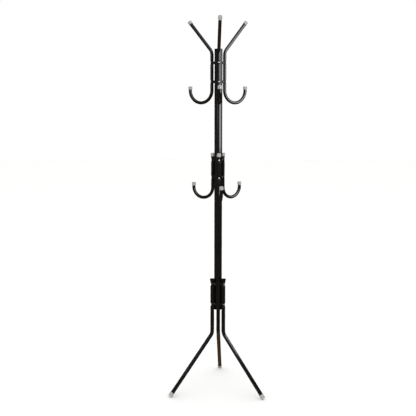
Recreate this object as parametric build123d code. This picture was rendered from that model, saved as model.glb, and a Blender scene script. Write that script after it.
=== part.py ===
from build123d import *
import os
from math import cos, radians, sin, sqrt, tan

# Free-standing coat rack in black tube: a pole in two lengths on three splayed legs, a lower tier
# of three hooks and an upper tier of three hooks with horns. Millimetres, +Z up.
# Origin: on the pole's axis at floor level. The front of the rack faces -Y.

# ---------------------------------------------------------------- pole
pole_diameter = 38.0
pole_wall = 1.2
lower_section_length = 530.0
upper_section_length = 743.0
spigot_length = 50.0
spigot_clearance = 0.05  # radial, so that the upper section still turns on the lower one
spigot_lead = 1.5  # chamfer at the spigot's open end
neck_taper = 1.2  # height over which the upper section narrows to its spigot
seam_gap = 0.3  # between the lower section's rim and the upper section's shoulder

plug_head_thickness = 2.0
plug_head_rounding = 0.8
plug_stem_length = 14.0
plug_stem_wall = 1.6
plug_clearance = 0.05

# ---------------------------------------------------------------- legs
leg_diameter = 19.0
leg_wall = 1.2
leg_gap = 3.5  # between the pole's surface and the leg's
leg_bend_height = 293.0  # where the leg's two straight runs would cross
leg_bend_radius = 45.0
leg_splay = 39.0  # from the vertical, in degrees
leg_drop = 124.0  # from the bend up to the pole's lower end
leg_screw_rise = 25.0  # from the pole's lower end to the lower leg screw
leg_screw_gap = 104.0
leg_top_rise = 28.0  # from the upper leg screw to the leg's mouth
leg_mouth_flare = 3.0
leg_mouth_depth = 17.0
leg_pinch_depth = 7.0

# ---------------------------------------------------------------- arms
arm_diameter = 16.0
arm_wall = 1.0
arm_pinch_depth = 5.0

lower_tier_turn = 9.0  # degrees that the tier stands turned from the legs
lower_arm_gap = 2.5
lower_screw_rise = 131.0  # from the upper section's lower end to the tier's lower screw
lower_screw_gap = 86.0
lower_arm_top_rise = 33.5  # from the upper screw to the end of the top cap
lower_hook_drop = 50.5  # from the lower screw to the middle of the hook's bend
lower_hook_radius = 51.0
lower_tip_straight = 6.5  # bare straight tube between the hook's bend and its cap

upper_tier_turn = 5.0
upper_arm_gap = 8.2
upper_screw_drop = 63.0  # from the pole's top to the tier's upper screw
upper_screw_gap = 89.0
upper_hook_drop = 40.0
upper_hook_radius = 59.8
upper_tip_straight = 3.5
horn_rise = 52.0  # from the upper screw to where the horn's two straight runs would cross
horn_length = 191.0  # from that crossing to the end of the horn's cap
horn_splay = 40.5
horn_bend_radius = 40.0

# ---------------------------------------------------------------- end caps
arm_cap_length = 16.0
arm_cap_wall = 1.7
foot_cap_length = 20.5
foot_cap_wall = 1.4
cap_end_thickness = 2.5
cap_rounding = 0.9
cap_clearance = 0.05
sole_depth = 2.0  # how much of the foot cap's lowest edge is moulded flat for the floor

# ---------------------------------------------------------------- pinches and fasteners
pinch_flank = 14.0  # lean of the pressed groove's flanks, in degrees
pinch_floor_rounding = 1.2
pinch_lip_rounding = 2.5
pinch_overrun = 0.4  # how far the pressing tool's shoulder stays off the tube
corner_tolerance = 0.01  # for picking out the corners of the pressing tool's profile

screw_diameter = 4.9
screw_head_diameter = 9.0
screw_head_height = 3.0
screw_head_rounding = 1.7
screw_slot_width = 1.1
screw_slot_length = 5.0
screw_slot_depth = 1.7
screw_point = 0.6
screw_hole_clearance = 0.25
seat_clearance = 0.02
head_room = 0.2  # between a screw's head and the rounding at the foot of the flanks

nut_barrel_diameter = 7.0
nut_barrel_length = 11.0
nut_flange_diameter = 9.4
nut_flange_thickness = 0.8
nut_collar_diameter = 9.0
nut_collar_length = 3.0
nut_thread_clearance = 0.05
nut_hole_clearance = 0.05

spacer_diameter = 13.0
spacer_clearance = 0.05

# ---------------------------------------------------------------- derived sizes
pole_radius = pole_diameter / 2
pole_bore = pole_radius - pole_wall
spigot_radius = pole_bore - spigot_clearance
leg_radius = leg_diameter / 2
arm_radius = arm_diameter / 2
flank_turn = tan(radians(90 - pinch_flank) / 2)
pinch_floor = screw_head_diameter + 2 * head_room + 2 * pinch_floor_rounding * flank_turn

pole_bottom = leg_bend_height + leg_drop
pole_seam = pole_bottom + lower_section_length
pole_top = pole_seam + upper_section_length

leg_offset = pole_radius + leg_gap + leg_radius
lower_arm_offset = pole_radius + lower_arm_gap + arm_radius
upper_arm_offset = pole_radius + upper_arm_gap + arm_radius

# Each arm and leg has a lower and an upper screw, at these heights.
leg_screws = [pole_bottom + leg_screw_rise, pole_bottom + leg_screw_rise + leg_screw_gap]
lower_screws = [pole_seam + lower_screw_rise, pole_seam + lower_screw_rise + lower_screw_gap]
upper_screws = [pole_top - upper_screw_drop - upper_screw_gap, pole_top - upper_screw_drop]

# Directions in which the arms and legs point, in degrees from +X about +Z.
third = 360 / 3
front = -90
leg_directions = {"left": front - third / 2, "right": front + third / 2, "rear": front + 180}
arm_directions = {"front": front, "left": front - third, "right": front + third}


def turned(directions, turn):
    return {name: angle + turn for name, angle in directions.items()}


lower_directions = turned(arm_directions, lower_tier_turn)
upper_directions = turned(arm_directions, upper_tier_turn)


# ---------------------------------------------------------------- shapes shared by several pieces
# Arms, legs and their fasteners are drawn pointing along +X, in the upright plane through the
# pole's axis, and are then turned about the pole to where they belong.
def upright(height, radius, bottom=0.0, offset=0.0):
    return Pos(offset, 0, bottom + height / 2) * Cylinder(radius, height)


def radial(near, far, radius, height):
    """A round bar that points straight out from the pole."""
    return Pos((near + far) / 2, 0, height) * Rot(0, 90, 0) * Cylinder(radius, far - near)


def bent_wire(start, heading, steps):
    """Straight runs and tangent bends; each step is (run, bend radius, bend angle)."""
    edges = []
    place = Vector(*start)
    facing = Vector(1, 0).rotate(Axis.Z, heading)
    for run, radius, angle in steps:
        if run > 0:
            line = Line(place, place + facing * run)
            edges.append(line)
            place = line @ 1
        if angle:
            bend = JernArc(place, facing, radius, angle)
            edges.append(bend)
            place = bend @ 1
            facing = bend % 1
    return Plane.XZ * Wire([edge.edge() for edge in edges])


def swept(wire, radius):
    section = Plane(origin=wire @ 0, z_dir=wire % 0) * Circle(radius)
    return sweep(section, path=wire)


def pinch_tool(offset, tube_radius, depth, height, grow):
    """The press that flattens a tube's outer side; grow thickens it by the tube's wall."""
    floor = offset + tube_radius - depth - grow
    lip = offset + tube_radius + pinch_overrun - grow
    lean = radians(pinch_flank)
    half_floor = pinch_floor / 2 + grow * (1 / cos(lean) - tan(lean))
    half_lip = half_floor + (lip - floor) * tan(lean)
    wide = half_lip + 2 * pinch_lip_rounding
    far = lip + tube_radius
    outline = Polyline(
        (floor, -half_floor),
        (floor, half_floor),
        (lip, half_lip),
        (lip, wide),
        (far, wide),
        (far, -wide),
        (lip, -wide),
        (lip, -half_lip),
        close=True,
    )
    profile = make_face(outline)
    levels = profile.vertices().group_by(Axis.X)
    profile = fillet(levels[0], pinch_floor_rounding + grow)
    inner = half_lip + corner_tolerance
    lips = profile.vertices().filter_by_position(Axis.X, lip - corner_tolerance, lip + corner_tolerance)
    lips = lips.filter_by_position(Axis.Y, -inner, inner)
    profile = fillet(lips, pinch_lip_rounding - grow)
    return Pos(0, 0, height) * extrude(Plane.XZ * profile, amount=2 * tube_radius, both=True)


def pinched_tube(wire, offset, radius, wall, depth, heights):
    """A bent tube whose wall follows the presses that seat its screws."""
    outside = swept(wire, radius)
    inside = swept(wire, radius - wall)
    for height in heights:
        outside = outside - pinch_tool(offset, radius, depth, height, 0)
        inside = inside - pinch_tool(offset, radius, depth, height, wall)
    tube = outside - inside
    hole = screw_diameter / 2 + screw_hole_clearance
    for height in heights:
        tube = tube - radial(offset - 2 * radius, offset + 2 * radius, hole, height)
    return tube


def sleeve_cap(tube_radius, wall, length):
    """A sleeve with a closed, slightly rounded end; its outer end is at z = 0 and it opens downwards."""
    outside = Pos(0, 0, -length / 2) * Cylinder(tube_radius + wall, length)
    outside = fillet(outside.edges().group_by(Axis.Z)[-1], cap_rounding)
    socket = upright(length, tube_radius + cap_clearance, -length - cap_end_thickness)
    return outside - socket


def set_on(piece, end, direction):
    return Plane(origin=end, z_dir=direction) * piece


def screw(seat, reach, height):
    """A pan-head screw, with its head outside the seat and its point at the reach."""
    head = radial(seat, seat + screw_head_height, screw_head_diameter / 2, height)
    head = fillet(head.edges().group_by(Axis.X)[-1], screw_head_rounding)
    shank = radial(reach, seat, screw_diameter / 2, height)
    shank = chamfer(shank.edges().group_by(Axis.X)[0], screw_point)
    slot_centre = Pos(seat + screw_head_height, 0, height)
    slot = slot_centre * Box(2 * screw_slot_depth, screw_slot_width, screw_slot_length)
    cross = slot_centre * Box(2 * screw_slot_depth, screw_slot_length, screw_slot_width)
    return head + shank - slot - cross


def rivet_nut(height):
    """A threaded insert squeezed onto the pole's wall."""
    flange_seat = pole_radius + seat_clearance
    collar_radius = nut_collar_diameter / 2
    collar_face = sqrt(pole_bore**2 - collar_radius**2) - seat_clearance
    barrel_end = pole_radius - nut_barrel_length
    flange = radial(flange_seat, flange_seat + nut_flange_thickness, nut_flange_diameter / 2, height)
    barrel = radial(barrel_end, flange_seat + nut_flange_thickness, nut_barrel_diameter / 2, height)
    collar = radial(collar_face - nut_collar_length, collar_face, collar_radius, height)
    thread = screw_diameter / 2 + nut_thread_clearance
    bore = radial(0, leg_offset, thread, height)
    return flange + barrel + collar - bore


def spacer(offset, tube_radius, height):
    """A saddle that keeps a tube off the pole, hollowed to fit both and over the nut's flange."""
    block = radial(0, offset, spacer_diameter / 2, height)
    low = height - spacer_diameter
    block = block - upright(2 * spacer_diameter, pole_radius + spacer_clearance, low)
    block = block - upright(2 * spacer_diameter, tube_radius + spacer_clearance, low, offset)
    flange_room = nut_flange_thickness + seat_clearance + spacer_clearance
    flange_bore = nut_flange_diameter / 2 + screw_hole_clearance
    block = block - radial(0, pole_radius + flange_room, flange_bore, height)
    return block - radial(0, offset, screw_diameter / 2 + screw_hole_clearance, height)


def drilled(tube, screw_heights, directions):
    """A pole section with its holes for the rivet nuts of one tier."""
    hole = nut_barrel_diameter / 2 + nut_hole_clearance
    for height in screw_heights:
        for angle in directions.values():
            tube = tube - Rot(0, 0, angle) * radial(0, 2 * pole_radius, hole, height)
    return tube


def lower_section():
    outside = upright(lower_section_length, pole_radius, pole_bottom)
    inside = upright(lower_section_length, pole_bore, pole_bottom)
    return drilled(outside - inside, leg_screws, leg_directions)


def upper_section():
    """The upper length of pole, narrowed below to a spigot that stands in the lower one."""
    shoulder = pole_seam + seam_gap
    full = shoulder + neck_taper
    spigot_end = pole_seam - spigot_length
    spigot_bore = spigot_radius - pole_wall
    outline = Polyline(
        (pole_radius, pole_top),
        (pole_radius, full),
        (spigot_radius, shoulder),
        (spigot_radius, spigot_end + spigot_lead),
        (spigot_radius - pole_wall / 2, spigot_end),
        (spigot_bore, spigot_end),
        (spigot_bore, shoulder),
        (pole_bore, full),
        (pole_bore, pole_top),
        close=True,
    )
    tube = revolve(Plane.XZ * make_face(outline), Axis.Z)
    tube = drilled(tube, lower_screws, lower_directions)
    return drilled(tube, upper_screws, upper_directions)


def end_plug():
    """A plug for the pole's open end: a flat head with rounded rim on a hollow stem, head up."""
    head = upright(plug_head_thickness, pole_radius)
    head = fillet(head.edges().group_by(Axis.Z)[-1], plug_head_rounding)
    stem_radius = pole_bore - plug_clearance
    stem = upright(plug_stem_length, stem_radius, -plug_stem_length)
    hollow = upright(plug_stem_length, stem_radius - plug_stem_wall, -plug_stem_length)
    return head + (stem - hollow)


# ---------------------------------------------------------------- centre lines
def leg_ends():
    """The height and distance of the foot cap's end, with its lowest edge just under the floor."""
    lean = radians(leg_splay)
    end_height = (leg_radius + foot_cap_wall) * sin(lean) - sole_depth
    along = (leg_bend_height - end_height) / cos(lean)
    return leg_offset + along * sin(lean), end_height, along


def leg_wire():
    along = leg_ends()[2]
    tangent = leg_bend_radius * tan(radians(leg_splay) / 2)
    upper_run = leg_screws[1] + leg_top_rise - leg_bend_height - tangent
    lower_run = along - cap_end_thickness - tangent
    start = (leg_offset, leg_screws[1] + leg_top_rise)
    return bent_wire(start, -90, [(upper_run, leg_bend_radius, leg_splay), (lower_run, 0, 0)])


def hook_steps(start_height, bend_height, radius, bare):
    """From a start height straight down, round the hook and up into its cap."""
    tip_run = bare + arm_cap_length - cap_end_thickness
    return [(start_height - bend_height, radius, 180), (tip_run, 0, 0)]


def lower_arm_wire():
    top = lower_screws[1] + lower_arm_top_rise - cap_end_thickness
    bend_height = lower_screws[0] - lower_hook_drop
    steps = hook_steps(top, bend_height, lower_hook_radius, lower_tip_straight)
    return bent_wire((lower_arm_offset, top), -90, steps)


def upper_arm_wire():
    lean = radians(horn_splay)
    crossing = upper_screws[1] + horn_rise
    tube_run = horn_length - cap_end_thickness
    start = (upper_arm_offset + tube_run * sin(lean), crossing + tube_run * cos(lean))
    tangent = horn_bend_radius * tan(lean / 2)
    bend_height = upper_screws[0] - upper_hook_drop
    steps = hook_steps(crossing - tangent, bend_height, upper_hook_radius, upper_tip_straight)
    horn = (tube_run - tangent, horn_bend_radius, horn_splay)
    return bent_wire(start, -90 - horn_splay, [horn] + steps)


# ---------------------------------------------------------------- legs and arms
def leg():
    tube = pinched_tube(leg_wire(), leg_offset, leg_radius, leg_wall, leg_pinch_depth, leg_screws)
    top = leg_screws[1] + leg_top_rise
    mouth_radius = leg_radius + leg_mouth_flare
    middle = Pos(leg_offset, 0, top - leg_mouth_depth / 2)
    flare = middle * Cone(leg_radius, mouth_radius, leg_mouth_depth)
    opening = middle * Cone(leg_radius - leg_wall, mouth_radius - leg_wall, leg_mouth_depth)
    return tube + (flare - opening) - opening


def foot_cap():
    lean = radians(leg_splay)
    reach, end_height, _ = leg_ends()
    cap = sleeve_cap(leg_radius, foot_cap_wall, foot_cap_length)
    cap = set_on(cap, (reach, 0, end_height), (sin(lean), 0, -cos(lean)))
    wide = 4 * leg_diameter
    return cap - Pos(reach, 0, -foot_cap_length) * Box(wide, wide, 2 * foot_cap_length)


def lower_arm():
    return pinched_tube(
        lower_arm_wire(), lower_arm_offset, arm_radius, arm_wall, arm_pinch_depth, lower_screws
    )


def upper_arm():
    return pinched_tube(
        upper_arm_wire(), upper_arm_offset, arm_radius, arm_wall, arm_pinch_depth, upper_screws
    )


def cap_beyond(wire, at_start):
    """An arm's cap, pushed home on one end of its centre line."""
    end = wire @ 0 if at_start else wire @ 1
    outward = (wire % 0) * -1 if at_start else wire % 1
    cap = sleeve_cap(arm_radius, arm_cap_wall, arm_cap_length)
    return set_on(cap, end + outward * cap_end_thickness, outward)


# ---------------------------------------------------------------- write the pieces
os.makedirs("parts", exist_ok=True)


def write(node, shape):
    solids = shape.solids()
    whole = solids[0] if len(solids) == 1 else Compound(children=list(solids))
    whole.label = node
    export_step(whole, f"parts/{node}.step")


def write_around(stem, shape, directions):
    """One node for each direction: the same piece turned about the pole."""
    for name, angle in directions.items():
        write(f"{stem}_{name}", Rot(0, 0, angle) * shape)


def write_fixings(stem, offset, tube_radius, depth, heights, directions):
    """The spacers one by one, and the tier's screws and rivet nuts as two groups."""
    seat = offset + tube_radius - depth + seat_clearance
    reach = pole_radius - nut_barrel_length
    screws = []
    nuts = []
    for level, height in zip(("bottom", "top"), heights):
        write_around(f"{stem}_spacer_{level}", spacer(offset, tube_radius, height), directions)
        for angle in directions.values():
            screws.append(Rot(0, 0, angle) * screw(seat, reach, height))
            nuts.append(Rot(0, 0, angle) * rivet_nut(height))
    write(f"{stem}_screws", Compound(children=screws))
    write(f"{stem}_rivet_nuts", Compound(children=nuts))


write("pole_lower", lower_section())
write("pole_upper", upper_section())
write("pole_top_plug", Pos(0, 0, pole_top) * end_plug())
write("pole_bottom_plug", Pos(0, 0, pole_bottom) * Rot(180, 0, 0) * end_plug())

write_around("leg", leg(), leg_directions)
write_around("foot_cap", foot_cap(), leg_directions)
write_fixings("leg", leg_offset, leg_radius, leg_pinch_depth, leg_screws, leg_directions)

lower_wire = lower_arm_wire()
write_around("lower_arm", lower_arm(), lower_directions)
write_around("lower_arm_top_cap", cap_beyond(lower_wire, True), lower_directions)
write_around("lower_arm_tip_cap", cap_beyond(lower_wire, False), lower_directions)
write_fixings("lower_arm", lower_arm_offset, arm_radius, arm_pinch_depth, lower_screws, lower_directions)

upper_wire = upper_arm_wire()
write_around("upper_arm", upper_arm(), upper_directions)
write_around("upper_arm_horn_cap", cap_beyond(upper_wire, True), upper_directions)
write_around("upper_arm_tip_cap", cap_beyond(upper_wire, False), upper_directions)
write_fixings("upper_arm", upper_arm_offset, arm_radius, arm_pinch_depth, upper_screws, upper_directions)
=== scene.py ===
"""Standing coat rack in gloss-black steel tube: a pole in two lengths on three splayed legs, with
two tiers of three hooks. Builds the visible pieces round the packed model, in metres, +Z up, with
the pole's axis on the Z axis and the front of the rack facing -Y.
"""

import math

import bmesh
import bpy
from mathutils import Matrix, Vector


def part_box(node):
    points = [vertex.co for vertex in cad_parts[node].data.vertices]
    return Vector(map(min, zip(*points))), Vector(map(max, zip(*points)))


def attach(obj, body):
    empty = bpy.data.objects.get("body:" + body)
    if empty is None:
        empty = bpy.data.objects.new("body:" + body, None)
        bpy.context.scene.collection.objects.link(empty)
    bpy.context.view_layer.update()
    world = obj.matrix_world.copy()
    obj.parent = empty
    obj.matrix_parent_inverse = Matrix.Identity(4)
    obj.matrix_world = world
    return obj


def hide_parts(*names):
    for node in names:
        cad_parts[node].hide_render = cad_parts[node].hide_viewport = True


bl_info = {
    "name": "Standing Coat Rack",
    "version": (1, 0, 0),
    "blender": (4, 5, 0),
    "location": "View3D > Sidebar > Coat Rack",
    "description": "Builds a free-standing tube coat rack with its finishes, light and camera",
    "category": "Add Mesh",
}

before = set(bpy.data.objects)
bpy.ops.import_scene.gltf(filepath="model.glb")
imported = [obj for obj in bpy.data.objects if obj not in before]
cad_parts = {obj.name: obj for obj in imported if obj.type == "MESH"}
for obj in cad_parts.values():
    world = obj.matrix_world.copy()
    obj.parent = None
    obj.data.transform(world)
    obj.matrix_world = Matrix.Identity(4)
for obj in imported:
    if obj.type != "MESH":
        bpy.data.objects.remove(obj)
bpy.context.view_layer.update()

MM = 0.001
UP = -90.0  # heading of a centre line that runs straight down the pole
SAME_HEADING = 0.01  # degrees within which a tube still runs straight down the pole

# How finely the pieces are made: sides of a round section, and steps along a bent tube.
TUBE_SIDES = 56
POLE_SIDES = 96
PLUG_SIDES = 72
ARM_CAP_SIDES = 48
FOOT_CAP_SIDES = 96
FLOOR_SIDES = 64
POLE_STEP = 0.03
STRAIGHT_STEP = 8 * MM
MOUTH_STEP = 1 * MM
SEAT_STEP = 0.6 * MM  # round a screw's seat
SEAT_REACH = 10.5 * MM  # how far the close steps go above and below the seat
BEND_STEP = 3  # degrees
LEAST_STEP = 0.08 * MM
LEAST_TRAVEL = 0.05 * MM

# Angles over which two faces still shade as one surface.
LATHE_SHARP = 32.0
TUBE_SHARP = 40.0
CAP_SHARP = 38.0

# A cap's mould closes on two parting lines, which stand a little proud.
PARTING_SIDES = (90.0, 270.0)
PARTING_HEIGHT = 0.12 * MM
PARTING_SPREAD = 1.9  # degrees from the line's crest to the plain surface
PARTING_STEPS = (-3.2, -1.8, -1.2, 1.2, 1.8, 3.2)

# The rack's three-fold layout, as degrees from +X about +Z before a tier is turned.
LEG_DIRECTIONS = {"left": -150.0, "right": -30.0, "rear": 90.0}
ARM_DIRECTIONS = {"front": -90.0, "left": -210.0, "right": 30.0}


def middle_height(node):
    """Height of a packed piece's middle."""
    low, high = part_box(node)
    return (low.z + high.z) / 2


def node_top(node):
    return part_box(node)[1].z


def node_bottom(node):
    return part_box(node)[0].z


# ---------------------------------------------------------------- properties
def length(name, description, metres):
    return bpy.props.FloatProperty(
        name=name,
        description=description,
        default=metres,
        precision=5,
        subtype="DISTANCE",
        unit="LENGTH",
    )


def angle(name, description, degrees):
    return bpy.props.FloatProperty(
        name=name,
        description=description,
        default=math.radians(degrees),
        subtype="ANGLE",
        unit="ROTATION",
    )


def share(name, description, value, top=1.0):
    return bpy.props.FloatProperty(
        name=name, description=description, default=value, min=0.0, max=top
    )


def paint_colour(name, description, hex_value):
    return bpy.props.FloatVectorProperty(
        name=name,
        description=description,
        default=linear(hex_value),
        size=3,
        min=0.0,
        max=1.0,
        subtype="COLOR",
    )


def linear(hex_value):
    """An sRGB hex colour as linear red, green and blue."""
    channels = [int(hex_value[i : i + 2], 16) / 255 for i in (1, 3, 5)]
    return [c / 12.92 if c <= 0.04045 else ((c + 0.055) / 1.055) ** 2.4 for c in channels]


class CoatRackPoleSettings(bpy.types.PropertyGroup):
    """Sizes of the two pole lengths and their end plugs."""

    diameter: length("Diameter", "Outside diameter of the pole", 0.038)
    wall: length("Wall", "Wall thickness of the pole's tube", 0.0012)
    neck_taper: length("Neck taper", "Height of the swaged shoulder above the seam", 0.0012)
    neck_step: length("Neck step", "How much smaller in radius the spigot is", 0.00125)
    spigot: length("Spigot", "Length of the spigot inside the lower length", 0.05)
    rim: length("Rim rounding", "Rounding on the cut edges of the tube", 0.0004)
    plug_head: length("Plug head", "Thickness of the end plug's head", 0.002)
    plug_stem: length("Plug stem", "Length of the plug's stem inside the tube", 0.014)
    plug_wall: length("Plug wall", "Wall thickness of the plug's stem", 0.0016)


class CoatRackLegSettings(bpy.types.PropertyGroup):
    """Sizes of the three splayed legs."""

    diameter: length("Diameter", "Outside diameter of a leg", 0.019)
    wall: length("Wall", "Wall thickness of a leg", 0.0012)
    gap: length("Gap", "Space between the pole and a leg", 0.0035)
    splay: angle("Splay", "Lean of a leg from the vertical", 39.0)
    bend_radius: length("Bend radius", "Radius of the leg's bend", 0.045)
    bend_height: length("Bend height", "Height where a leg's two straight runs cross", 0.293)
    flare: length("Mouth flare", "How far the leg's open mouth is belled out", 0.003)
    flare_depth: length("Flare depth", "Length of the belled mouth", 0.017)
    pinch: length("Pinch", "How deep the outer side is pressed in for a screw", 0.007)
    cap_wall: length("Foot cap wall", "Wall thickness of a foot cap", 0.0014)
    cap_length: length("Foot cap length", "Length of a foot cap", 0.0205)
    sole: length("Sole", "How much of the foot cap's edge is moulded flat", 0.002)


class CoatRackArmSettings(bpy.types.PropertyGroup):
    """Sizes of the six hooked arms."""

    diameter: length("Diameter", "Outside diameter of an arm", 0.016)
    wall: length("Wall", "Wall thickness of an arm", 0.001)
    pinch: length("Pinch", "How deep the outer side is pressed in for a screw", 0.005)
    lower_gap: length("Lower gap", "Space between the pole and a lower arm", 0.0025)
    lower_turn: angle("Lower tier turn", "Turn of the lower tier about the pole", 9.0)
    lower_radius: length("Lower hook radius", "Bend radius of a lower hook", 0.051)
    lower_drop: length("Lower hook drop", "From the lower screw to the hook's bend", 0.0505)
    upper_gap: length("Upper gap", "Space between the pole and an upper arm", 0.0082)
    upper_turn: angle("Upper tier turn", "Turn of the upper tier about the pole", 5.0)
    upper_radius: length("Upper hook radius", "Bend radius of an upper hook", 0.0598)
    upper_drop: length("Upper hook drop", "From the lower screw to the hook's bend", 0.04)
    horn_rise: length("Horn rise", "From the upper screw to the horn's bend", 0.052)
    horn_length: length("Horn length", "From the horn's bend to the end of its cap", 0.191)
    horn_splay: angle("Horn splay", "Lean of a horn from the vertical", 40.5)
    horn_radius: length("Horn bend radius", "Radius of the horn's bend", 0.04)
    cap_wall: length("Cap wall", "Wall thickness of an arm's cap", 0.0017)
    cap_length: length("Cap length", "Length of an arm's cap", 0.016)


class CoatRackPressSettings(bpy.types.PropertyGroup):
    """How the tube takes its shape where it is pressed flat or bent."""

    floor: length("Pinch floor", "Half height of the flat that seats a screw head", 0.0052)
    flank: length("Pinch flank", "Height over which the pressed side runs out", 0.0036)
    spread: share("Pinch spread", "Share by which the pressed tube grows wider", 0.15)
    crease: length("Pinch crease", "Rounding along the pressed flat's edges", 0.0012)
    oval: share("Bend ovality", "Share by which a bend flattens across its plane", 0.03)
    cap_floor: length("Cap end", "Thickness of a cap's closed end", 0.0025)
    cap_fit: length("Cap fit", "Radial room between a cap and its tube", 0.00005)


class CoatRackFinishSettings(bpy.types.PropertyGroup):
    """Colours of the finishes."""

    enamel: paint_colour("Enamel", "Gloss black stoved enamel on the tubes", "#0b0a09")
    enamel_haze: paint_colour("Enamel haze", "Browner film where the enamel is thin", "#110e0c")
    cap: paint_colour("Cap", "Pale moulded polyethylene of the caps", "#bdbcba")
    cap_deep: paint_colour("Cap shade", "Greyer flow marks in the caps", "#a9a7a5")
    plug: paint_colour("Plug", "Black moulded polypropylene", "#131313")
    plug_bloom: paint_colour("Plug bloom", "Paler bloom on the black plastic", "#1e1e1f")
    zinc: paint_colour("Zinc", "Bright zinc plating on the screws", "#d3d8de")
    zinc_tint: paint_colour("Zinc tint", "Bluer passivated zinc", "#bcc6d3")
    nut: paint_colour("Nut", "Dull zinc plating on the rivet nuts", "#a4a8ad")
    nut_stain: paint_colour("Nut stain", "Darker stain in the dull zinc", "#84888c")


class CoatRackStageSettings(bpy.types.PropertyGroup):
    """Floor, light and camera."""

    floor: paint_colour("Floor", "Pale painted studio floor", "#f8f8f7")
    floor_radius: length("Floor radius", "Radius of the round studio floor", 14.0)
    overhead: share("Overhead light", "Brightness of the light tent, white at 1", 0.72, 4.0)
    fill: share("Fill light", "Brightness of the light from all round, white at 1", 0.45, 4.0)
    lens: bpy.props.FloatProperty(
        name="Lens",
        description="Focal length on a 36 mm wide sensor",
        default=59.96,
        subtype="DISTANCE_CAMERA",
        unit="CAMERA",
    )
    camera_distance: length("Camera distance", "Distance from the pole, level", 3.363)
    camera_height: length("Camera height", "Height of the camera above the floor", 1.4466)
    camera_side: angle("Camera side", "Turn of the camera round the pole to the right", 2.43)
    camera_pan: angle("Camera pan", "Heading of the camera, to the left of +Y", 3.28)
    camera_tilt: angle("Camera tilt", "How far the camera looks down", 8.77)


# ---------------------------------------------------------------- mesh making
def blend_in(t):
    """A smooth step from 0 to 1 for t from 0 to 1."""
    t = min(max(t, 0.0), 1.0)
    return t * t * (3 - 2 * t)


def softly_below(value, ceiling, rounding):
    """The lower of the two, with their meeting rounded off."""
    t = min(max(0.5 + 0.5 * (ceiling - value) / rounding, 0.0), 1.0)
    return ceiling + (value - ceiling) * t - rounding * t * (1 - t)


def turn_about_pole(degrees):
    return Matrix.Rotation(math.radians(degrees), 4, "Z")


def skin(name, rings, place, closed, sharp):
    """A mesh skinned over rings of points; a ring of one point closes an end.

    With closed set, the last ring is joined to the first, which gives a hollow tube its ends.
    """
    mesh = bpy.data.meshes.new(name)
    made = bmesh.new()
    corners = [[made.verts.new(place @ Vector(point)) for point in ring] for ring in rings]
    pairs = list(zip(corners, corners[1:]))
    if closed:
        pairs.append((corners[-1], corners[0]))
    for here, there in pairs:
        count = max(len(here), len(there))
        for i in range(count):
            j = (i + 1) % count
            face = [here[i % len(here)], here[j % len(here)]]
            face += [there[j % len(there)], there[i % len(there)]]
            made.faces.new(list(dict.fromkeys(face)))
    bmesh.ops.recalc_face_normals(made, faces=made.faces)
    made.to_mesh(mesh)
    made.free()
    mesh.shade_smooth()
    mesh.set_sharp_from_angle(angle=math.radians(sharp))
    piece = bpy.data.objects.new(name, mesh)
    bpy.context.scene.collection.objects.link(piece)
    return piece


def finish_piece(context, piece, body, slot_name, node):
    """Gives a piece its finish and its body, and hides the packed piece that it stands for."""
    piece.data.materials.append(finish_of(context, slot_name))
    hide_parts(node)
    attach(piece, body)


def round_angles(count, ridges=()):
    """Angles round a ring, with more of them close to each ridge."""
    spots = {round(360 * i / count, 4) for i in range(count)}
    for ridge in ridges:
        for step in PARTING_STEPS:
            spots.add(round((ridge + step) % 360, 4))
    return [math.radians(a) for a in sorted(spots)]


def lathe(name, profile, place, angles, ridges=(), sharp=LATHE_SHARP):
    """Turns (radius, height, ridged) points about Z; ridged points carry the parting lines."""
    rings = []
    for radius, height, ridged in profile:
        if radius <= 0:
            rings.append([(0, 0, height)])
            continue
        ring = []
        for a in angles:
            lift = 0.0
            for ridge in ridges:
                away = abs((math.degrees(a) - ridge + 180) % 360 - 180)
                lift += PARTING_HEIGHT * ridged * (1 - blend_in(away / PARTING_SPREAD))
            ring.append(((radius + lift) * math.cos(a), (radius + lift) * math.sin(a), height))
        rings.append(ring)
    closed = all(radius > 0 for radius, _, _ in profile)
    return skin(name, rings, place, closed, sharp)


def rounded(corner, radius, start, end, steps=5):
    """Profile points of a quarter round about a centre, from one angle to another."""
    x, z = corner
    turns = [math.radians(start + (end - start) * i / steps) for i in range(steps + 1)]
    return [(x + radius * math.cos(t), z + radius * math.sin(t), 1.0) for t in turns]


# ---------------------------------------------------------------- bent and pressed tube
def spaced(low, high, step):
    count = max(1, math.ceil((high - low) / step - 1e-6))
    return [low + (high - low) * i / count for i in range(count + 1)]


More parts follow.
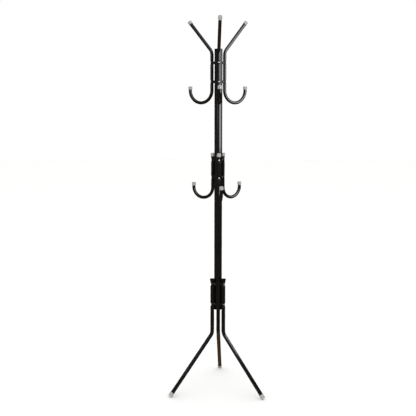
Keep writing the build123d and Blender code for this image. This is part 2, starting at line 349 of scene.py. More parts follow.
def centre_line(start, heading, steps, seats, fine_start=0.0):
    """Stations along a bent tube: reach from the pole, height, heading, bend share, travel.

    Each step is (run, bend radius, bend angle). Stations crowd round the screw seats on the
    straight that runs down the pole, and over the first fine_start of the tube.
    """
    x, z = start
    travel = 0.0
    stations = []
    for run, radius, turn in steps:
        facing = math.radians(heading)
        stops = set(spaced(0, run, STRAIGHT_STEP)) if run > 0 else set()
        if fine_start and travel == 0.0:
            stops |= set(spaced(0, fine_start, MOUTH_STEP)) | {0.0004, 0.0001}
        if abs(heading - UP) < SAME_HEADING:
            for seat in seats:
                close = spaced(z - seat - SEAT_REACH, z - seat + SEAT_REACH, SEAT_STEP)
                stops |= {d for d in close if 0 < d < run}
        kept = []
        for d in sorted(stops):
            if not kept or d - kept[-1] > LEAST_STEP:
                kept.append(d)
        for d in kept:
            at = (x + d * math.cos(facing), z + d * math.sin(facing))
            stations.append((*at, heading, 0.0, travel + d))
        x += run * math.cos(facing)
        z += run * math.sin(facing)
        travel += run
        if turn:
            middle = (x - radius * math.sin(facing), z + radius * math.cos(facing))
            parts = math.ceil(turn / BEND_STEP)
            for i in range(1, parts + 1):
                t = i / parts
                now = math.radians(heading + turn * t)
                at = (middle[0] + radius * math.sin(now), middle[1] - radius * math.cos(now))
                along = travel + math.radians(turn) * radius * t
                swell = blend_in(min(t, 1 - t) * 4) if i < parts else 0.0
                stations.append((*at, math.degrees(now), swell, along))
            x, z = at
            travel += math.radians(turn) * radius
            heading += turn
    kept = stations[:1]
    for station in stations[1:]:
        if station[4] - kept[-1][4] > LEAST_TRAVEL:
            kept.append(station)
    return kept


def pressed(a, b, radius, flat, strength, press):
    """Moves a point of a round section to its place in the pressed one."""
    if strength <= 0:
        return a, b
    low = softly_below(a, flat, press.crease)
    wide = b * (1 + press.spread * blend_in((a / radius + 0.45) / 0.6))
    return a + (low - a) * strength, b + (wide - b) * strength


def tube_surface(stations, radius, depth, wall, seats, press, angles, mouth):
    """Rings of one surface of a tube; wall is how far it lies inside the outer one."""
    rings = []
    for x, z, heading, swell, travel in stations:
        turn = math.radians(heading)
        strength = 0.0
        if abs(heading - UP) < SAME_HEADING:
            for seat in seats:
                off = (abs(z - seat) - press.floor) / press.flank
                strength = max(strength, 1 - blend_in(off))
        size = radius - wall + mouth(travel, wall)
        ring = []
        for t in angles:
            a = size * math.cos(t) * (1 - press.oval * swell)
            b = size * math.sin(t) * (1 + 0.5 * press.oval * swell)
            a, b = pressed(a, b, radius, radius - depth - wall, strength, press)
            ring.append((x - a * math.sin(turn), b, z + a * math.cos(turn)))
        rings.append(ring)
    return rings


def bent_tube(name, stations, radius, wall, depth, seats, press, direction, flare=None):
    """A hollow tube, bent along its stations and pressed in on its outer side at each seat."""
    angles = round_angles(TUBE_SIDES)
    edge = 0.3 * MM

    def mouth(travel, inside):
        if flare is None:
            return 0.0
        bell, depth_of_bell = flare
        grow = bell * max(0.0, 1 - travel / depth_of_bell) ** 1.35
        rim = edge * max(0.0, 1 - travel / edge)
        return grow + (rim if inside else -rim)

    outer = tube_surface(stations, radius, depth, 0.0, seats, press, angles, mouth)
    inner = tube_surface(stations, radius, depth, wall, seats, press, angles, mouth)
    return skin(name, outer + inner[::-1], turn_about_pole(direction), True, TUBE_SHARP)


def hook_steps(start_height, bend_height, radius, tip):
    """The steps of a straight run down the pole, a half turn and a short straight up."""
    return [(start_height - bend_height, radius, 180.0), (tip, 0.0, 0.0)]


# ---------------------------------------------------------------- materials
def add_node(owner, kind, output=None, **settings):
    """Adds a node to a material or a world; returns it, or the output that is asked for.

    A setting is a property or an input of the node; a socket given for an input is wired to it.
    """
    tree = owner.node_tree
    node = tree.nodes.new(kind)
    for key, value in settings.items():
        if hasattr(node, key):
            setattr(node, key, value)
            continue
        place = next(s for s in node.inputs if key in (s.identifier, s.name.replace(" ", "_")))
        if isinstance(value, bpy.types.NodeSocket):
            tree.links.new(value, place)
        else:
            place.default_value = value
    if output is None:
        return node
    return next(s for s in node.outputs if output in (s.identifier, s.name))


def new_material(name):
    """An empty node material, and its coordinates in metres."""
    material = bpy.data.materials.new(name)
    material.use_nodes = True
    material.node_tree.nodes.clear()
    return material, add_node(material, "ShaderNodeTexCoord", "Object")


def per_metre(millimetres):
    """Noise scale at which the pattern repeats about once in a size given in millimetres."""
    return 1000.0 / millimetres


def opaque(colour):
    """A colour with full alpha, as a node's colour input takes it."""
    return (*colour, 1.0)


# Noise keeps mostly to this band of its 0 to 1, so the band is spread over a pattern's range.
NOISE_BAND = {"From_Min": 0.3, "From_Max": 0.7}


def stoved_enamel(finish):
    """Gloss black stoved enamel on cold-drawn mild-steel tube.

    Gives the eye a deep black with long soft-edged reflections, a faint orange-peel ripple, and
    patches that are a little duller where hands and packing have touched it.
    """
    material, place = new_material("gloss_black_stoved_enamel_on_steel")
    # Film thickness drifts over a few centimetres.
    film = add_node(
        material, "ShaderNodeTexNoise", "Fac", Vector=place, Scale=per_metre(55.0), Detail=3.0
    )
    thin = add_node(material, "ShaderNodeMapRange", "Result", Value=film, **NOISE_BAND)
    colour = add_node(
        material, "ShaderNodeMix", "Result_Color", data_type="RGBA", Factor_Float=thin,
        A_Color=opaque(finish.enamel), B_Color=opaque(finish.enamel_haze),
    )
    # Handling marks about the size of a fingertip.
    handled = add_node(
        material, "ShaderNodeTexNoise", "Fac", Vector=place, Scale=per_metre(24.0), Detail=5.0,
        Roughness=0.6,
    )
    roughness = add_node(
        material, "ShaderNodeMapRange", "Result", Value=handled, **NOISE_BAND, To_Min=0.08,
        To_Max=0.15,
    )
    # Orange peel has waves of 1 to 2 mm; drawn at 3 mm so that it shows.
    peel = add_node(
        material, "ShaderNodeTexNoise", "Fac", Vector=place, Scale=per_metre(3.0), Detail=0.0
    )
    ripple = add_node(
        material, "ShaderNodeBump", "Normal", Height=peel, Strength=0.5, Distance=0.02 * MM
    )
    # Dust nibs under the film, about 1 mm across and nearly a centimetre apart.
    dust = add_node(
        material, "ShaderNodeTexNoise", "Fac", Vector=place, Scale=per_metre(9.0), Detail=0.0
    )
    nibs = add_node(
        material, "ShaderNodeMapRange", "Result", Value=dust, From_Min=0.78, From_Max=0.86
    )
    surface = add_node(
        material, "ShaderNodeBump", "Normal", Height=nibs, Normal=ripple, Strength=0.5,
        Distance=0.03 * MM,
    )
    shader = add_node(
        material, "ShaderNodeBsdfPrincipled", "BSDF", Base_Color=colour, Roughness=roughness,
        Normal=surface, IOR=1.5,
    )
    add_node(material, "ShaderNodeOutputMaterial", Surface=shader)
    return material


def moulded_polyethylene(finish):
    """Natural low-density polyethylene, injection moulded.

    Gives the eye a milky pale grey that light sinks into a little, a waxy sheen, and soft cloudy
    flow marks.
    """
    material, place = new_material("pale_grey_moulded_polyethylene")
    flow = add_node(
        material, "ShaderNodeTexNoise", "Fac", Vector=place, Scale=per_metre(14.0), Detail=3.0,
        Roughness=0.55,
    )
    cloud = add_node(material, "ShaderNodeMapRange", "Result", Value=flow, **NOISE_BAND)
    colour = add_node(
        material, "ShaderNodeMix", "Result_Color", data_type="RGBA", Factor_Float=cloud,
        A_Color=opaque(finish.cap), B_Color=opaque(finish.cap_deep),
    )
    # Waxy bloom in patches of several millimetres.
    wax = add_node(
        material, "ShaderNodeTexNoise", "Fac", Vector=place, Scale=per_metre(6.0), Detail=2.0
    )
    roughness = add_node(
        material, "ShaderNodeMapRange", "Result", Value=wax, **NOISE_BAND, To_Min=0.34,
        To_Max=0.48,
    )
    # Spark-eroded mould texture of about 0.2 mm, drawn at 0.8 mm so that it shows.
    grain = add_node(
        material, "ShaderNodeTexNoise", "Fac", Vector=place, Scale=per_metre(0.8), Detail=2.0
    )
    surface = add_node(
        material, "ShaderNodeBump", "Normal", Height=grain, Strength=0.4, Distance=0.04 * MM
    )
    shader = add_node(
        material, "ShaderNodeBsdfPrincipled", "BSDF", Base_Color=colour, Roughness=roughness,
        Normal=surface, IOR=1.51, Subsurface_Weight=0.2, Subsurface_Radius=(1.0, 0.95, 0.9),
        Subsurface_Scale=0.002,
    )
    add_node(material, "ShaderNodeOutputMaterial", Surface=shader)
    return material


def patched_finish(name, tones, patch_mm, roughness_range, grain, **shader):
    """Two tones in patches, a roughness that follows them, and a grain of size, detail, depth."""
    material, place = new_material(name)
    grain_mm, detail, depth = grain
    patches = add_node(
        material, "ShaderNodeTexNoise", "Fac", Vector=place, Scale=per_metre(patch_mm), Detail=3.0
    )
    stain = add_node(material, "ShaderNodeMapRange", "Result", Value=patches, **NOISE_BAND)
    colour = add_node(
        material, "ShaderNodeMix", "Result_Color", data_type="RGBA", Factor_Float=stain,
        A_Color=opaque(tones[0]), B_Color=opaque(tones[1]),
    )
    smooth, rough = roughness_range
    roughness = add_node(
        material, "ShaderNodeMapRange", "Result", Value=stain, To_Min=smooth, To_Max=rough
    )
    texture = add_node(
        material, "ShaderNodeTexNoise", "Fac", Vector=place, Scale=per_metre(grain_mm),
        Detail=detail,
    )
    surface = add_node(
        material, "ShaderNodeBump", "Normal", Height=texture, Strength=0.5, Distance=depth
    )
    shader = add_node(
        material, "ShaderNodeBsdfPrincipled", "BSDF", Base_Color=colour, Roughness=roughness,
        Normal=surface, **shader,
    )
    add_node(material, "ShaderNodeOutputMaterial", Surface=shader)
    return material


def moulded_polypropylene(finish):
    """Black polypropylene, injection moulded in a spark-eroded mould.

    Gives the eye a satin black, greyer than the enamel, with pale bloom in patches of under a
    centimetre and a fine even grain.
    """
    # Spark-eroded grain of about 0.15 mm, drawn at 0.6 mm so that it shows.
    return patched_finish(
        "black_moulded_polypropylene", (finish.plug, finish.plug_bloom), 8.0, (0.42, 0.55),
        (0.6, 2.0, 0.05 * MM), IOR=1.49,
    )


def bright_zinc(finish):
    """Cold-headed steel screws, barrel zinc plated and clear passivated.

    Gives the eye a bright bluish silver that is broken up by small knocks from the barrel.
    """
    # Barrel knocks of about 0.4 mm, drawn at 1.2 mm so that they show.
    return patched_finish(
        "bright_zinc_plated_screw_steel", (finish.zinc, finish.zinc_tint), 3.0, (0.32, 0.45),
        (1.2, 1.0, 0.03 * MM), Metallic=1.0,
    )


def dull_zinc(finish):
    """Turned steel rivet nuts with dull zinc plating.

    Gives the eye a flat mid grey metal with darker stains.
    """
    # Turning marks 0.1 mm apart, drawn as 0.5 mm grain so that they show.
    return patched_finish(
        "dull_zinc_plated_nut_steel", (finish.nut, finish.nut_stain), 4.0, (0.38, 0.55),
        (0.5, 1.0, 0.03 * MM), Metallic=1.0,
    )


def painted_floor(stage):
    """Pale floor paint, rolled on.

    Gives the eye an even off-white with a trace of roller stipple.
    """
    material, place = new_material("pale_rolled_floor_paint")
    # The roller's passes overlap every few hundred millimetres.
    passes = add_node(
        material, "ShaderNodeTexNoise", "Fac", Vector=place, Scale=per_metre(420.0), Detail=3.0
    )
    colour = add_node(
        material, "ShaderNodeMix", "Result_Color", data_type="RGBA", Factor_Float=passes,
        A_Color=opaque(stage.floor), B_Color=opaque([c * 0.985 for c in stage.floor]),
    )
    roughness = add_node(
        material, "ShaderNodeMapRange", "Result", Value=passes, To_Min=0.65, To_Max=0.85
    )
    # Roller stipple of about 2 mm, drawn at 4 mm.
    stipple = add_node(
        material, "ShaderNodeTexNoise", "Fac", Vector=place, Scale=per_metre(4.0), Detail=1.0
    )
    surface = add_node(
        material, "ShaderNodeBump", "Normal", Height=stipple, Strength=0.3, Distance=0.05 * MM
    )
    shader = add_node(
        material, "ShaderNodeBsdfPrincipled", "BSDF", Base_Color=colour, Roughness=roughness,
        Normal=surface,
    )
    add_node(material, "ShaderNodeOutputMaterial", Surface=shader)
    return material


FINISHES = {
    "black_gloss_paint": stoved_enamel,
    "pale_plastic_caps": moulded_polyethylene,
    "black_plastic": moulded_polypropylene,
    "zinc_plated_screws": bright_zinc,
    "zinc_plated_nuts": dull_zinc,
}
MADE_FINISHES = {}


def finish_of(context, slot_name):
    """The material of one of the record's slots, made the first time it is asked for."""
    if slot_name not in MADE_FINISHES:
        MADE_FINISHES[slot_name] = FINISHES[slot_name](context.scene.coat_rack_finish)
    return MADE_FINISHES[slot_name]


def refinish_node(context, node, slot_name):
    """Puts a finish on a packed piece whose shape is right as it is."""
    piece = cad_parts[node]
    material = finish_of(context, slot_name)
    if not piece.material_slots:
        raise RuntimeError(f"{node} has no material slot")
    for place in piece.material_slots:
        place.material = material


# ---------------------------------------------------------------- operators: the pole
class COATRACK_OT_pole(bpy.types.Operator):
    """Turn the lower and upper lengths of the pole"""

    bl_idname = "coat_rack.pole"
    bl_label = "Pole Lengths"

    def execute(self, context):
        pole = context.scene.coat_rack_pole
        outer = pole.diameter / 2
        inner = outer - pole.wall
        rim = pole.rim
        low = node_bottom("pole_lower")
        seam = node_top("pole_lower")
        top = node_top("pole_upper")
        angles = round_angles(POLE_SIDES)

        profile = rounded((outer - rim, low + rim), rim, -90, 0)
        profile += [(outer, z, 1.0) for z in spaced(low + 2 * rim, seam - 2 * rim, POLE_STEP)]
        profile += rounded((outer - rim, seam - rim), rim, 0, 90)
        profile += rounded((inner + rim, seam - rim), rim, 90, 180)
        profile += [(inner, low + rim, 1.0)]
        profile += rounded((inner + rim, low + rim), rim, 180, 270)[1:]
        piece = lathe("pole_lower_length", profile, Matrix(), angles)
        finish_piece(context, piece, "base", "black_gloss_paint", "pole_lower")

        neck = outer - pole.neck_step
        bore = neck - pole.wall
        seam_gap = 0.3 * MM
        shoulder = seam + seam_gap
        full = shoulder + pole.neck_taper
        spigot_end = seam - pole.spigot
        lead = 1.5 * MM
        lead_in = 0.6 * MM
        turned = 0.9 * MM
        profile = [(neck - lead_in, spigot_end, 1.0), (neck, spigot_end + lead, 1.0)]
        profile += [(neck, shoulder, 1.0), (outer - turned, shoulder + 0.1 * MM, 1.0)]
        profile += rounded((outer - turned, full), turned, -70, 0, 6)
        profile += [(outer, z, 1.0) for z in spaced(full + rim, top - 2 * rim, POLE_STEP)]
        profile += rounded((outer - rim, top - rim), rim, 0, 90)
        profile += rounded((inner + rim, top - rim), rim, 90, 180)
        profile += [(inner, full, 1.0), (bore, shoulder, 1.0), (bore, spigot_end, 1.0)]
        piece = lathe("pole_upper_length", profile, Matrix(), angles)
        finish_piece(context, piece, "upper_post", "black_gloss_paint", "pole_upper")
        return {"FINISHED"}


class COATRACK_OT_pole_plugs(bpy.types.Operator):
    """Mould the plugs that close the pole's two open ends"""

    bl_idname = "coat_rack.pole_plugs"
    bl_label = "Pole Plugs"

    def execute(self, context):
        pole = context.scene.coat_rack_pole
        outer = pole.diameter / 2
        slack = 0.05 * MM
        stem = outer - pole.wall - slack
        hollow = stem - pole.plug_wall
        head = pole.plug_head
        foot = -pole.plug_stem
        soft = 0.8 * MM
        dimple = head - 0.75 * MM
        dish = head - 0.4 * MM
        # Head up: a gate dimple in the middle, a dished face inside a rim, then stem and hollow.
        profile = [(0.0, dimple, 1.0), (0.7 * MM, dimple, 1.0), (1.1 * MM, dish, 1.0)]
        profile += [(outer - 5.2 * MM, dish, 1.0), (outer - 4.6 * MM, head - 0.32 * MM, 1.0)]
        profile += [(outer - 4.0 * MM, head - 0.06 * MM, 1.0), (outer - 3.4 * MM, head, 1.0)]
        profile += rounded((outer - soft, head - soft), soft, 90, 0, 6)
        profile += [(outer, 0.1 * MM, 1.0), (outer - 0.1 * MM, 0.0, 1.0), (stem, 0.0, 1.0)]
        profile += [(stem, foot + 0.8 * MM, 1.0), (stem - 0.5 * MM, foot, 1.0)]
        profile += [(hollow, foot, 1.0), (hollow, 0.0, 1.0), (0.0, 0.0, 1.0)]
        angles = round_angles(PLUG_SIDES)
        up = Matrix.Translation((0, 0, node_top("pole_upper")))
        piece = lathe("pole_plug_top", profile, up, angles)
        finish_piece(context, piece, "upper_post", "black_plastic", "pole_top_plug")
        down = Matrix.Translation((0, 0, node_bottom("pole_lower")))
        down = down @ Matrix.Rotation(math.pi, 4, "X")
        piece = lathe("pole_plug_bottom", profile, down, angles)
        finish_piece(context, piece, "base", "black_plastic", "pole_bottom_plug")
        return {"FINISHED"}


# ---------------------------------------------------------------- operators: legs and arms
def leg_line(context):
    """The leg's stations, its screw seats, and where its foot cap's end lies."""
    leg = context.scene.coat_rack_legs
    press = context.scene.coat_rack_press
    radius = leg.diameter / 2
    offset = context.scene.coat_rack_pole.diameter / 2 + leg.gap + radius
    seats = [middle_height(f"leg_spacer_{level}_left") for level in ("bottom", "top")]
    top = node_top("leg_left")
    end_height = (radius + leg.cap_wall) * math.sin(leg.splay) - leg.sole
    along = (leg.bend_height - end_height) / math.cos(leg.splay)
    tangent = leg.bend_radius * math.tan(leg.splay / 2)
    steps = [
        (top - leg.bend_height - tangent, leg.bend_radius, math.degrees(leg.splay)),
        (along - press.cap_floor - tangent, 0.0, 0.0),
    ]
    belled = leg.flare_depth + 3 * MM
    stations = centre_line((offset, top), UP, steps, seats, belled)
    end = (offset + along * math.sin(leg.splay), end_height)
    return stations, seats, end


class COATRACK_OT_legs(bpy.types.Operator):
    """Bend, bell and press the three legs"""

    bl_idname = "coat_rack.legs"
    bl_label = "Legs"

    def execute(self, context):
        leg = context.scene.coat_rack_legs
        press = context.scene.coat_rack_press
        stations, seats, _ = leg_line(context)
        for side, direction in LEG_DIRECTIONS.items():
            piece = bent_tube(
                f"leg_tube_{side}", stations, leg.diameter / 2, leg.wall, leg.pinch, seats, press,
                direction, (leg.flare, leg.flare_depth),
            )
            finish_piece(context, piece, "base", "black_gloss_paint", f"leg_{side}")
        return {"FINISHED"}


def arm_line(context, tier):
    """Stations, screw seats and offset of one tier's arms."""
    arm = context.scene.coat_rack_arms
    press = context.scene.coat_rack_press
    pole_radius = context.scene.coat_rack_pole.diameter / 2
    seats = [middle_height(f"{tier}_arm_spacer_{level}_front") for level in ("bottom", "top")]
    if tier == "lower":
        offset = pole_radius + arm.lower_gap + arm.diameter / 2
        start = (offset, node_top("lower_arm_top_cap_front") - press.cap_floor)
        bend = seats[0] - arm.lower_drop
        tip = node_top("lower_arm_tip_cap_front") - press.cap_floor - bend
        steps = hook_steps(start[1], bend, arm.lower_radius, tip)
        return centre_line(start, UP, steps, seats), seats, offset
    offset = pole_radius + arm.upper_gap + arm.diameter / 2
    crossing = seats[1] + arm.horn_rise
    run = arm.horn_length - press.cap_floor
    start = (offset + run * math.sin(arm.horn_splay), crossing + run * math.cos(arm.horn_splay))
    tangent = arm.horn_radius * math.tan(arm.horn_splay / 2)
    bend = seats[0] - arm.upper_drop
    tip = node_top("upper_arm_tip_cap_front") - press.cap_floor - bend
    splay = math.degrees(arm.horn_splay)
    steps = [(run - tangent, arm.horn_radius, splay)]
    steps += hook_steps(crossing - tangent, bend, arm.upper_radius, tip)
    return centre_line(start, UP - splay, steps, seats), seats, offset


def tier_directions(context, tier):
    """Which way each arm of a tier points, by the arm's side."""
    arm = context.scene.coat_rack_arms
    turn = math.degrees(arm.lower_turn if tier == "lower" else arm.upper_turn)
    return {side: direction + turn for side, direction in ARM_DIRECTIONS.items()}


def make_arms(context, tier):
    """The three bent tubes of one tier."""
    arm = context.scene.coat_rack_arms
    press = context.scene.coat_rack_press
    stations, seats, _ = arm_line(context, tier)
    for side, direction in tier_directions(context, tier).items():
        piece = bent_tube(
            f"{tier}_hook_tube_{side}", stations, arm.diameter / 2, arm.wall, arm.pinch, seats,
            press, direction,
        )
        finish_piece(context, piece, "upper_post", "black_gloss_paint", f"{tier}_arm_{side}")


class COATRACK_OT_lower_arms(bpy.types.Operator):
    """Bend and press the three hooks of the lower tier"""

    bl_idname = "coat_rack.lower_arms"
    bl_label = "Lower Hooks"

    def execute(self, context):
        make_arms(context, "lower")
        return {"FINISHED"}


class COATRACK_OT_upper_arms(bpy.types.Operator):
    """Bend and press the three hooks with horns of the upper tier"""

    bl_idname = "coat_rack.upper_arms"
    bl_label = "Upper Hooks and Horns"

    def execute(self, context):
        make_arms(context, "upper")
        return {"FINISHED"}


# ---------------------------------------------------------------- operators: caps
def cap_profile(bore, outer, reach, floor, dish):
    """A sleeve cap, outer end at zero: gate dimple, dished end, rounded rim, bead and socket."""
    soft = 1.5 * MM
    draft = 0.12 * MM
    bead = 0.25 * MM
    dimple = -dish - 0.35 * MM
    end = outer - draft
    profile = [(0.0, dimple, 0.0), (0.55 * MM, dimple, 0.0), (0.95 * MM, -dish, 0.0)]
    profile += [(end - 4.2 * MM, -dish, 0.0), (end - 3.4 * MM, -dish * 0.75, 0.0)]
    profile += [(end - 2.8 * MM, -dish * 0.1, 0.0), (end - 2.2 * MM, 0.0, 0.0)]
    profile += rounded((end - soft, -soft), soft, 90, 0, 6)
    profile += [(end + draft * t, -soft - (reach - 5.5 * MM) * t, 1.0) for t in (0.25, 0.5, 0.75)]
    profile += [(outer, -reach + 3.2 * MM, 1.0), (outer + 0.6 * bead, -reach + 2.7 * MM, 1.0)]
    profile += [(outer + bead, -reach + 2.2 * MM, 1.0), (outer + bead, -reach + 0.9 * MM, 1.0)]
    profile += [(outer - 0.1 * MM, -reach + 0.25 * MM, 1.0), (outer - 0.5 * MM, -reach, 0.0)]
    profile += [(bore + 0.3 * MM, -reach, 0.0), (bore, -reach + 0.4 * MM, 0.0)]
    profile += [(bore, -floor, 0.0), (0.0, -floor, 0.0)]
    return profile


def pointing(end, lean, direction):
    """Places a piece made pointing up at an end, leaning out from the pole by an angle."""
    reach, height = end
    local = Matrix.Translation((reach, 0, height)) @ Matrix.Rotation(lean, 4, "Y")
    return turn_about_pole(direction) @ local


class COATRACK_OT_arm_caps(bpy.types.Operator):
    """Mould the caps on the ends of the arms"""

    bl_idname = "coat_rack.arm_caps"
    bl_label = "Arm Caps"

    def execute(self, context):
        arm = context.scene.coat_rack_arms
        press = context.scene.coat_rack_press
        bore = arm.diameter / 2 + press.cap_fit
        outer = arm.diameter / 2 + arm.cap_wall
        dish = 0.5 * MM
        profile = cap_profile(bore, outer, arm.cap_length, press.cap_floor, dish)
        angles = round_angles(ARM_CAP_SIDES, PARTING_SIDES)
        for tier, first in (("lower", "top"), ("upper", "horn")):
            stations, _, offset = arm_line(context, tier)
            tip_reach = offset + 2 * (arm.lower_radius if tier == "lower" else arm.upper_radius)
            lean = arm.horn_splay if tier == "upper" else 0.0
            x, z = stations[0][:2]
            head = (x + press.cap_floor * math.sin(lean), z + press.cap_floor * math.cos(lean))
            tip = (tip_reach, node_top(f"{tier}_arm_tip_cap_front"))
            for side, direction in tier_directions(context, tier).items():
                for kind, end, tilt in ((first, head, lean), ("tip", tip, 0.0)):
                    place = pointing(end, tilt, direction)
                    name = f"{tier}_{kind}_cap_{side}"
                    piece = lathe(name, profile, place, angles, PARTING_SIDES, CAP_SHARP)
                    node = f"{tier}_arm_{kind}_cap_{side}"
                    finish_piece(context, piece, "upper_post", "pale_plastic_caps", node)
        return {"FINISHED"}


class COATRACK_OT_foot_caps(bpy.types.Operator):
    """Mould the foot caps, with a flat for the floor"""

    bl_idname = "coat_rack.foot_caps"
    bl_label = "Foot Caps"

    def execute(self, context):
        leg = context.scene.coat_rack_legs
        press = context.scene.coat_rack_press
        bore = leg.diameter / 2 + press.cap_fit
        outer = leg.diameter / 2 + leg.cap_wall
        dish = 0.6 * MM
        profile = cap_profile(bore, outer, leg.cap_length, press.cap_floor, dish)
        angles = round_angles(FOOT_CAP_SIDES, PARTING_SIDES)
        end = leg_line(context)[2]
        for side, direction in LEG_DIRECTIONS.items():
            place = pointing(end, math.pi - leg.splay, direction)
            name = f"foot_cap_moulded_{side}"
            piece = lathe(name, profile, place, angles, PARTING_SIDES, CAP_SHARP)
            # The flat is where the floor cuts off the lowest edge.
            for corner in piece.data.vertices:
                corner.co.z = max(corner.co.z, 0.0)
            finish_piece(context, piece, "base", "pale_plastic_caps", f"foot_cap_{side}")
        return {"FINISHED"}


# ---------------------------------------------------------------- operators: fixings
FIXED_GROUPS = ("leg", "lower_arm", "upper_arm")


class COATRACK_OT_spacers(bpy.types.Operator):
    """Finish the saddle spacers between the tubes and the pole"""

    bl_idname = "coat_rack.spacers"
    bl_label = "Spacers"

    def execute(self, context):
        for node in sorted(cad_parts):
            if "_spacer_" in node:
                refinish_node(context, node, "black_plastic")
        return {"FINISHED"}


class COATRACK_OT_screws(bpy.types.Operator):
    """Finish the screws of the legs and of both tiers"""

    bl_idname = "coat_rack.screws"
    bl_label = "Screws"

    def execute(self, context):
        for group in FIXED_GROUPS:
            refinish_node(context, f"{group}_screws", "zinc_plated_screws")
        return {"FINISHED"}


class COATRACK_OT_rivet_nuts(bpy.types.Operator):
    """Finish the rivet nuts in the pole's wall"""

    bl_idname = "coat_rack.rivet_nuts"
    bl_label = "Rivet Nuts"

    def execute(self, context):
        for group in FIXED_GROUPS:
            refinish_node(context, f"{group}_rivet_nuts", "zinc_plated_nuts")
        return {"FINISHED"}


# ---------------------------------------------------------------- operator: the stage
# What gloss reflects, from straight down at 0 to straight up at 1.
ROOM_TINTS = (
    (0.00, (0.75, 0.34, 0.11, 1)),
    (0.03, (0.60, 0.28, 0.09, 1)),
    (0.06, (0.15, 0.11, 0.07, 1)),
    (0.38, (0.13, 0.11, 0.09, 1)),
    (0.50, (0.22, 0.22, 0.23, 1)),
    (0.62, (0.16, 0.16, 0.17, 1)),
    (0.80, (0.12, 0.12, 0.13, 1)),
)

# The room is lit in front of the rack and dark behind it, and its floor is lit all round.
BEHIND = (0.0, 1.0, 0.8)
BEHIND_EDGE = 0.35
BEHIND_LEVEL = 0.12

FLOOR_REACHES = (0.5, 1.5, 4.0)
SENSOR_WIDTH = 36.0
TENT_ANGLE = 120.0

# Glossy-only cards: name, middle, target, width, height, radiance.
CARDS = (
    ("window_softbox", (1.055, -0.573, 1.76), (0, 0, 1.76), 1.47, 1.28, 6.0),
    ("left_card", (-0.7, -2.4, 1.65), (0, 0, 1.65), 0.55, 0.85, 1.5),
    ("ceiling_card", (-0.3, -1.4, 2.75), (-0.3, -1.4, 0.0), 2.4, 2.4, 0.8),
    ("ceiling_near_window", (1.1, -1.0, 2.74), (1.1, -1.0, 0.0), 1.5, 1.8, 2.0),
)


def studio_world(scene):
    """White behind the rack; what the finishes reflect is a dim room over a brown floor."""
    world = bpy.data.worlds.new("studio")
    world.use_nodes = True
    world.node_tree.nodes.clear()
    path = add_node(world, "ShaderNodeLightPath")
    direction = add_node(world, "ShaderNodeTexCoord", "Generated")
    height = add_node(world, "ShaderNodeSeparateXYZ", "Z", Vector=direction)
    rise = add_node(
        world, "ShaderNodeMapRange", "Result", Value=height, From_Min=-1.0, From_Max=1.0
    )
    ramp = add_node(world, "ShaderNodeValToRGB", Fac=rise)
    stops = ramp.color_ramp.elements
    stops[0].position, stops[0].color = ROOM_TINTS[0]
    stops[1].position, stops[1].color = ROOM_TINTS[-1]
    for position, colour in ROOM_TINTS[1:-1]:
        stops.new(position).color = colour
    behind = add_node(
        world, "ShaderNodeVectorMath", "Value", operation="DOT_PRODUCT", Vector=direction,
        Vector_001=BEHIND,
    )
    strength = add_node(
        world, "ShaderNodeMapRange", "Result", Value=behind, From_Min=-BEHIND_EDGE,
        From_Max=BEHIND_EDGE, To_Min=1.0, To_Max=BEHIND_LEVEL,
    )
    room = add_node(
        world, "ShaderNodeBackground", "Background", Color=ramp.outputs["Color"], Strength=strength
    )
    fill = add_node(
        world, "ShaderNodeBackground", "Background", Color=opaque((1, 1, 1)),
        Strength=scene.coat_rack_stage.fill,
    )
    backdrop = add_node(
        world, "ShaderNodeBackground", "Background", Color=opaque((1, 1, 1)), Strength=1.0
    )
    lit = add_node(
        world, "ShaderNodeMixShader", "Shader", Fac=path.outputs["Is Glossy Ray"], Shader=fill,
        Shader_001=room,
    )
    seen = add_node(
        world, "ShaderNodeMixShader", "Shader", Fac=path.outputs["Is Camera Ray"], Shader=lit,
        Shader_001=backdrop,
    )
    add_node(world, "ShaderNodeOutputWorld", Surface=seen)
    scene.world = world


def softbox(name, middle, target, width, height, radiance):
    """A rectangular card that only gloss sees, facing a target; radiance 1 is white."""
    light = bpy.data.lights.new(name, "AREA")
    light.shape = "RECTANGLE"
    light.size = width
    light.size_y = height
    light.energy = radiance * math.pi * width * height
    lamp = bpy.data.objects.new(name, light)
    lamp.location = middle
    facing = Vector(target) - Vector(middle)
    lamp.rotation_euler = facing.to_track_quat("-Z", "Y").to_euler()
    lamp.visible_diffuse = False
    lamp.visible_camera = False
    bpy.context.scene.collection.objects.link(lamp)


def studio_floor(scene):
    """A round floor that the rack stands on."""
    stage = scene.coat_rack_stage
    rings = [[(0, 0, 0)]]
    for reach in (*FLOOR_REACHES, stage.floor_radius):
        angles = round_angles(FLOOR_SIDES)
        rings.append([(reach * math.cos(a), reach * math.sin(a), 0) for a in angles])
    mesh = bpy.data.meshes.new("studio_floor")
    made = bmesh.new()
    corners = [[made.verts.new(point) for point in ring] for ring in rings]
    for i in range(FLOOR_SIDES):
        j = (i + 1) % FLOOR_SIDES
        made.faces.new([corners[0][0], corners[1][i], corners[1][j]])
        for here, there in zip(corners[1:], corners[2:]):
            made.faces.new([here[i], there[i], there[j], here[j]])
    made.to_mesh(mesh)
    made.free()
    floor = bpy.data.objects.new("studio_floor", mesh)
    scene.collection.objects.link(floor)
    floor.data.materials.append(painted_floor(stage))
    floor.visible_glossy = False


def light_tent(scene):
    """Soft light from overhead, which gloss doesn't see."""
    overhead = bpy.data.lights.new("overhead_light_tent", "SUN")
    overhead.energy = scene.coat_rack_stage.overhead * math.pi
    overhead.angle = math.radians(TENT_ANGLE)
    lamp = bpy.data.objects.new("overhead_light_tent", overhead)
    lamp.location = (0, 0, 3)
    lamp.visible_glossy = False
    scene.collection.objects.link(lamp)


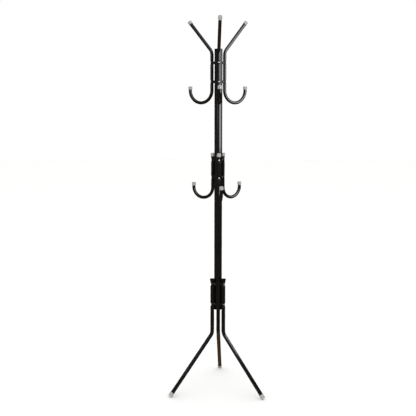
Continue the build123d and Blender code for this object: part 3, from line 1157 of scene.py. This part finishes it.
def studio_camera(scene):
    """The camera, placed by its distance from the pole and its turn round it."""
    stage = scene.coat_rack_stage
    data = bpy.data.cameras.new("camera")
    data.sensor_width = SENSOR_WIDTH
    data.lens = stage.lens
    camera = bpy.data.objects.new("camera", data)
    side = stage.camera_side
    camera.location = (
        stage.camera_distance * math.sin(side),
        -stage.camera_distance * math.cos(side),
        stage.camera_height,
    )
    camera.rotation_euler = (math.pi / 2 - stage.camera_tilt, 0.0, stage.camera_pan)
    scene.collection.objects.link(camera)
    return camera


class COATRACK_OT_stage(bpy.types.Operator):
    """Lay the floor, hang the lights and set up the camera"""

    bl_idname = "coat_rack.stage"
    bl_label = "Stage"

    def execute(self, context):
        scene = context.scene
        studio_floor(scene)
        studio_world(scene)
        light_tent(scene)
        for card in CARDS:
            softbox(*card)
        bpy.context.scene.camera = studio_camera(scene)
        scene.view_settings.view_transform = "Standard"
        return {"FINISHED"}


# ---------------------------------------------------------------- panel and registration
BUILD_ORDER = (
    COATRACK_OT_stage,
    COATRACK_OT_pole,
    COATRACK_OT_pole_plugs,
    COATRACK_OT_legs,
    COATRACK_OT_foot_caps,
    COATRACK_OT_lower_arms,
    COATRACK_OT_upper_arms,
    COATRACK_OT_arm_caps,
    COATRACK_OT_spacers,
    COATRACK_OT_screws,
    COATRACK_OT_rivet_nuts,
)

SETTINGS = {
    "coat_rack_pole": CoatRackPoleSettings,
    "coat_rack_legs": CoatRackLegSettings,
    "coat_rack_arms": CoatRackArmSettings,
    "coat_rack_press": CoatRackPressSettings,
    "coat_rack_finish": CoatRackFinishSettings,
    "coat_rack_stage": CoatRackStageSettings,
}


class COATRACK_PT_sidebar(bpy.types.Panel):
    """Lists the rack's pieces and their sizes"""

    bl_idname = "COATRACK_PT_sidebar"
    bl_label = "Standing Coat Rack"
    bl_space_type = "VIEW_3D"
    bl_region_type = "UI"
    bl_category = "Coat Rack"

    def draw(self, context):
        for operator in BUILD_ORDER:
            self.layout.operator(operator.bl_idname)
        for name, group in SETTINGS.items():
            box = self.layout.box()
            box.label(text=group.__doc__)
            for prop in group.__annotations__:
                box.prop(getattr(context.scene, name), prop)


def register():
    for name, group in SETTINGS.items():
        bpy.utils.register_class(group)
        setattr(bpy.types.Scene, name, bpy.props.PointerProperty(type=group))
    for operator in BUILD_ORDER:
        bpy.utils.register_class(operator)
    bpy.utils.register_class(COATRACK_PT_sidebar)


def unregister():
    bpy.utils.unregister_class(COATRACK_PT_sidebar)
    for operator in reversed(BUILD_ORDER):
        bpy.utils.unregister_class(operator)
    for name, group in SETTINGS.items():
        delattr(bpy.types.Scene, name)
        bpy.utils.unregister_class(group)


def main():
    register()
    for operator in BUILD_ORDER:
        family, name = operator.bl_idname.split(".")
        getattr(getattr(bpy.ops, family), name)()


if __name__ == "__main__":
    main()
